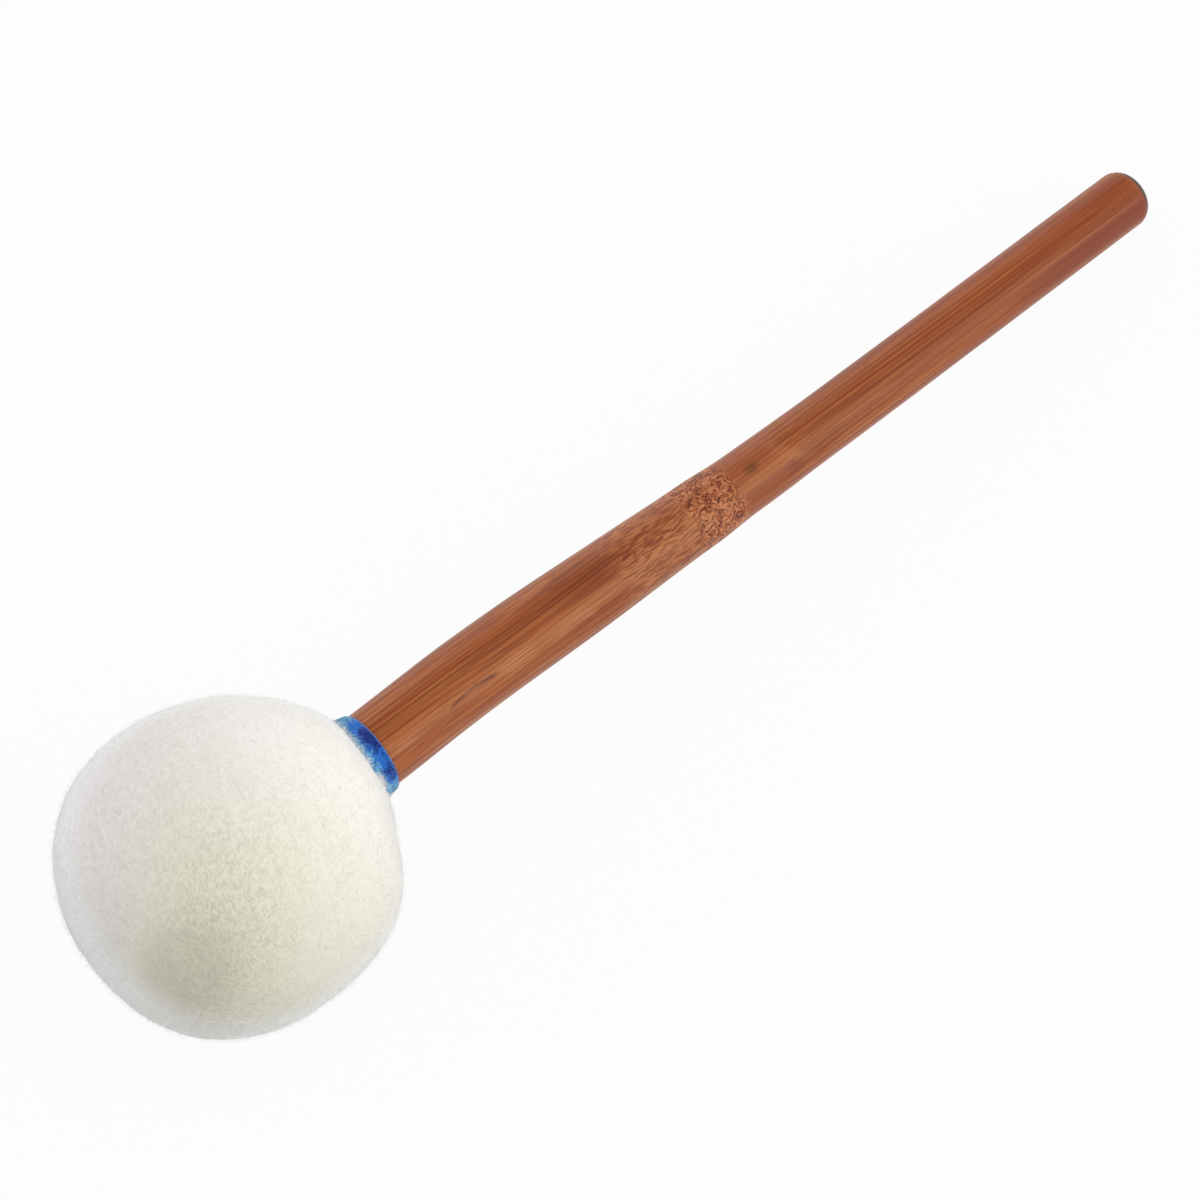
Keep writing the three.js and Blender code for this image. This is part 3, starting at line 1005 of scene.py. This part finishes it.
def cane(settings):
    """The handle turned as one piece: tenon, neck, swell, waist and grip, with a rounded butt."""
    arris = 0.5
    shoulder = handle_radius(SHOULDER)
    outline = [
        (TENON_END, 0),
        (TENON_END, TENON_RADIUS - arris),
        (TENON_END + arris, TENON_RADIUS),
        (CORE_REAR + 0.3, TENON_RADIUS),
        (CORE_REAR + 0.3, NECK_RADIUS),
        (SHOULDER, NECK_RADIUS),
        (SHOULDER, shoulder - arris),
        (SHOULDER + arris * 0.3, shoulder - arris * 0.3),
        (SHOULDER + arris, shoulder),
    ]
    rings = 130
    start = SHOULDER + 1
    end = BUTT - BUTT_ROUNDING
    places = [start + (end - start) * i / rings for i in range(rings)]
    outline += [(place, handle_radius(place)) for place in places]
    for i in range(11):
        turn = math.pi / 2 * i / 10
        fall = BUTT_ROUNDING * (1 - math.cos(turn))
        outline.append((end + BUTT_ROUNDING * math.sin(turn), GRIP / 2 - fall))
    outline += [(BUTT, 0)]
    work = bmesh.new()
    verts = [work.verts.new((place, 0, radius)) for place, radius in outline]
    edges = [work.edges.new(pair) for pair in zip(verts, verts[1:])]
    bmesh.ops.spin(
        work, geom=verts + edges, axis=(1, 0, 0), cent=(0, 0, 0),
        angle=2 * math.pi, steps=96, use_merge=True,
    )
    closed_up(work)
    for vert in work.verts:
        if vert.co.x > SHOULDER + arris:
            if vert.co.x < end:
                vert.co += worked(vert.co, settings.node_place / MM)
            vert.co.y += handle_bow(vert.co.x)
    return work


def worked(point, node_place):
    """How far the node's ridge and hollow and the work of the hand move a point of the cane."""
    past_node = point.x - node_place
    ridge = 0.16 * math.exp(-((past_node / 5) ** 2))
    hollow = 0.12 * math.exp(-(((past_node - 11) / 6) ** 2))
    hand_work = 0.07 * noise.noise(Vector((point.x * 0.05, point.y * 0.15, point.z * 0.15)))
    return Vector((0, point.y, point.z)).normalized() * (ridge - hollow + hand_work)


# Operators


class MALLET_OT_stage(bpy.types.Operator):
    """Adds the floor, the soft lights and the camera."""

    bl_idname = "mallet.stage"
    bl_label = "Stage"

    def execute(self, context):
        settings = context.scene.mallet_stage
        middle = Vector(settings.target)
        level = math.cos(settings.elevation)
        back = Vector((
            level * math.sin(settings.azimuth),
            -level * math.cos(settings.azimuth),
            math.sin(settings.elevation),
        ))
        self.add_floor(settings)
        self.add_world(context.scene, settings, back)
        mirrored = Vector((LAMP_PLACE.x, -LAMP_PLACE.y, LAMP_PLACE.z))
        self.add_lamp("back_lamp", middle, LAMP_PLACE, settings.back_power)
        self.add_lamp("side_lamp", middle, mirrored, settings.side_power)
        camera = bpy.data.cameras.new("camera")
        camera.lens = settings.lens
        camera.sensor_width = 36
        camera.clip_end = VIEW_DEPTH
        context.scene.camera = looking("camera", camera, middle, back * settings.distance)
        context.scene.view_settings.view_transform = "Standard"
        return {"FINISHED"}

    def add_floor(self, settings):
        """The floor looks white to the camera, but keeps the mallet's shadow."""
        work = bmesh.new()
        bmesh.ops.create_grid(work, x_segments=1, y_segments=1, size=FLOOR_REACH)
        mesh = bpy.data.meshes.new("floor")
        work.to_mesh(mesh)
        work.free()
        floor = added("floor", mesh)
        shader = Shader("pale_floor")
        shader.set(Base_Color=settings.floor_colour, Roughness=0.9, Specular_IOR_Level=0.1)
        bare = Value(shader, shader.surface.outputs[0])
        glow = shader.light("ShaderNodeEmission", 1.0)
        seen = shader.ray("Camera", "Glossy") * 0.95
        shader.connect(shader.output.inputs[0], shader.either(seen, bare, glow))
        mesh.materials.append(shader.material)

    def add_world(self, scene, settings, back):
        """Brighter on one side and beside the view. Lacquer mirrors a plainer room, darker overhead."""
        world = bpy.data.worlds.new("white_surround")
        world.use_nodes = True
        room = Nodes(world.node_tree)
        direction = room.node("ShaderNodeTexCoord", output="Generated")
        right = Vector((0, 0, 1)).cross(back).normalized()
        beside = room.dot(direction, right)
        above = room.dot(direction, back.cross(right))
        leaning = room.dot(direction, BRIGHT_SIDE) * settings.lean
        uneven = leaning + (beside * beside - above * above) * settings.sides
        lit = room.light("ShaderNodeBackground", (uneven + 1).at_least(0) * settings.ambient)
        height = room.split(direction)[2]
        overhead = 0.96 - room.rise(height, 0.2, 0.8) * 0.54
        plain = room.light("ShaderNodeBackground", overhead.at_least(room.ray("Camera")))
        output = room.tree.nodes.new("ShaderNodeOutputWorld")
        room.connect(output.inputs[0], room.either(room.ray("Camera", "Glossy"), lit, plain))
        scene.world = world

    def add_lamp(self, name, target, offset, power):
        light = bpy.data.lights.new(name, "AREA")
        light.shape = "DISK"
        light.size = LAMP_SIZE
        light.energy = power
        looking(name, light, target, offset)


class MALLET_OT_felt_head(bpy.types.Operator):
    """Models the soft felt ball as a thick shell, gathered round the neck under the band."""

    bl_idname = "mallet.felt_head"
    bl_label = "Felt Head"

    def execute(self, context):
        settings = context.scene.mallet_head
        work = felt_ball(settings)
        rest_on_floor(work)
        head = finished(work, "felt_head", felt_material(settings), ("felt_cover",))
        return {"FINISHED"}


class MALLET_OT_wool_nap(bpy.types.Operator):
    """Lays short wool fibres over the felt ball, with finer ones that stand out of it."""

    bl_idname = "mallet.wool_nap"
    bl_label = "Wool Nap"

    def execute(self, context):
        settings = context.scene.mallet_head
        lying = wool_material(settings, "wool_fibres", 0)
        standing = wool_material(settings, "fine_wool", 0.8)
        pick = random.Random(41)
        for kind, count, material, fuzz in (
            ("nap", settings.strands, lying, False),
            ("fuzz", settings.fuzz, standing, True),
        ):
            for i in range(WOOL_MESHES):
                paths = wool_strands(settings, count // WOOL_MESHES, pick, fuzz)
                dressed(strand_mesh(paths, f"wool_{kind}_{i + 1}"), material)
        dressed(strand_mesh(mouth_strands(settings, pick), "mouth_fibres"), lying)
        return {"FINISHED"}


class MALLET_OT_neck_band(bpy.types.Operator):
    """Models the blue felt strip round the neck and its nap."""

    bl_idname = "mallet.neck_band"
    bl_label = "Neck Band"

    def execute(self, context):
        settings = context.scene.mallet_band
        felt = band_material(settings, "blue_felt", False)
        finished(band_strip(), "blue_felt_band", felt, ("neck_band",))
        fibres = band_material(settings, "blue_fibres", True)
        paths = band_strands(settings.strands, random.Random(7))
        dressed(strand_mesh(paths, "blue_nap"), fibres)
        return {"FINISHED"}


class MALLET_OT_handle(bpy.types.Operator):
    """Models the contoured bamboo handle with its tenon and its rounded butt."""

    bl_idname = "mallet.handle"
    bl_label = "Handle"

    def execute(self, context):
        settings = context.scene.mallet_handle
        finished(cane(settings), "bamboo_handle", bamboo_material(settings), ("handle",))
        return {"FINISHED"}


# Looks of the pieces inside the head: pale and dark colour, stretch of the grain, roughness, nodes
INNER_LOOKS = {
    "turned_beech": ((222, 184, 138), (190, 146, 98), (0.05, 1.2, 1.2), 0.6, ("head_core", "core_pin")),
    "firm_felt": (
        (214, 208, 196), (180, 174, 164), (0.8, 0.8, 0.8), 0.95,
        ("inner_felt_wrap", "front_felt_disc", "rear_felt_ring"),
    ),
    "waxed_thread": ((224, 212, 178), (186, 170, 134), (2, 2, 2), 0.6, ("gathering_thread",)),
}


class MALLET_OT_inner_parts(bpy.types.Operator):
    """Finishes the pieces inside the head: core, pin, firm felt and gathering thread."""

    bl_idname = "mallet.inner_parts"
    bl_label = "Inner Parts"

    def execute(self, context):
        for look, (pale, dark, stretch, roughness, nodes) in INNER_LOOKS.items():
            material = plain_grain_material(look, srgb(*pale), srgb(*dark), stretch, roughness)
            for node in nodes:
                mesh = frame["nodes"][node].data
                mesh.materials.clear()
                mesh.materials.append(material)
        return {"FINISHED"}


class MALLET_PT_panel(bpy.types.Panel):
    bl_idname = "MALLET_PT_panel"
    bl_label = "Bass Drum Mallet"
    bl_space_type = "VIEW_3D"
    bl_region_type = "UI"
    bl_category = "Mallet"

    def draw(self, context):
        for title, operators in (
            ("Stage", ("mallet.stage",)),
            ("Head", ("mallet.felt_head", "mallet.wool_nap", "mallet.inner_parts")),
            ("Band", ("mallet.neck_band",)),
            ("Handle", ("mallet.handle",)),
        ):
            settings = getattr(context.scene, "mallet_" + title.lower())
            box = self.layout.box()
            box.label(text=title)
            for name in settings.bl_rna.properties.keys():
                if name not in ("name", "rna_type"):
                    box.prop(settings, name)
            for operator in operators:
                box.operator(operator)


GROUPS = {
    "mallet_stage": StageSettings,
    "mallet_head": HeadSettings,
    "mallet_band": BandSettings,
    "mallet_handle": HandleSettings,
}
CLASSES = (
    *GROUPS.values(),
    MALLET_OT_stage,
    MALLET_OT_felt_head,
    MALLET_OT_wool_nap,
    MALLET_OT_neck_band,
    MALLET_OT_handle,
    MALLET_OT_inner_parts,
    MALLET_PT_panel,
)


def register():
    for item in CLASSES:
        bpy.utils.register_class(item)
    for name, group in GROUPS.items():
        setattr(bpy.types.Scene, name, PointerProperty(type=group))


def unregister():
    for name in GROUPS:
        delattr(bpy.types.Scene, name)
    for item in reversed(CLASSES):
        bpy.utils.unregister_class(item)


def main():
    register()
    bpy.ops.mallet.stage()
    bpy.ops.mallet.felt_head()
    bpy.ops.mallet.wool_nap()
    bpy.ops.mallet.neck_band()
    bpy.ops.mallet.handle()
    bpy.ops.mallet.inner_parts()


if __name__ == "__main__":
    main()
